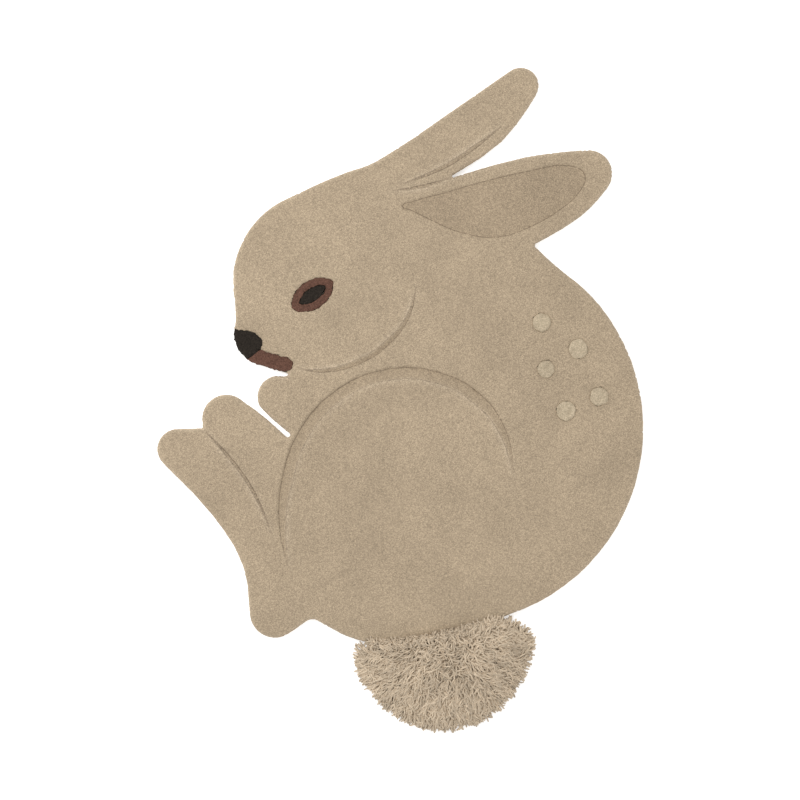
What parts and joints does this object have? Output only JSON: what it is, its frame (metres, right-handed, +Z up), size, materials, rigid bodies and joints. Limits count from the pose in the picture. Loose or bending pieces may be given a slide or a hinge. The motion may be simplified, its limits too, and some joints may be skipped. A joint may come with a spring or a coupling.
{
  "type": "rabbit shaped kids rug",
  "caption": "Hand tufted child's rug in the shape of a curled up rabbit, beige shorn pile with carved lines, inlaid eye, nose, mouth and spots, and a shaggy tail.",
  "frame": {"origin": "on the rug's flat underside, at the floor, near the middle of its plan", "axes": "+Z up, out of the pile; +Y from the tail to the tips of the ears; the rabbit faces -X"},
  "size_m": [0.8769, 1.2046, 0.036],
  "materials": {
    "ground_wool": "shorn cut pile wool, heathered beige, matt",
    "tail_wool": "long shag wool yarn, pale beige, matt",
    "brown_wool": "shorn cut pile wool, reddish brown, matt",
    "black_wool": "shorn cut pile wool, black, matt",
    "spot_wool": "shorn cut pile wool, pale beige, shorn to low domes, matt"
  },
  "bodies": {
    "root": {"rug_ground": "ground_wool", "tail_shag": "tail_wool", "eye_rim": "brown_wool", "eye_pupil": "black_wool", "nose": "black_wool", "mouth": "brown_wool", "spot_1": "spot_wool", "spot_2": "spot_wool", "spot_3": "spot_wool", "spot_4": "spot_wool", "spot_5": "spot_wool"}
  },
  "joints": []
}
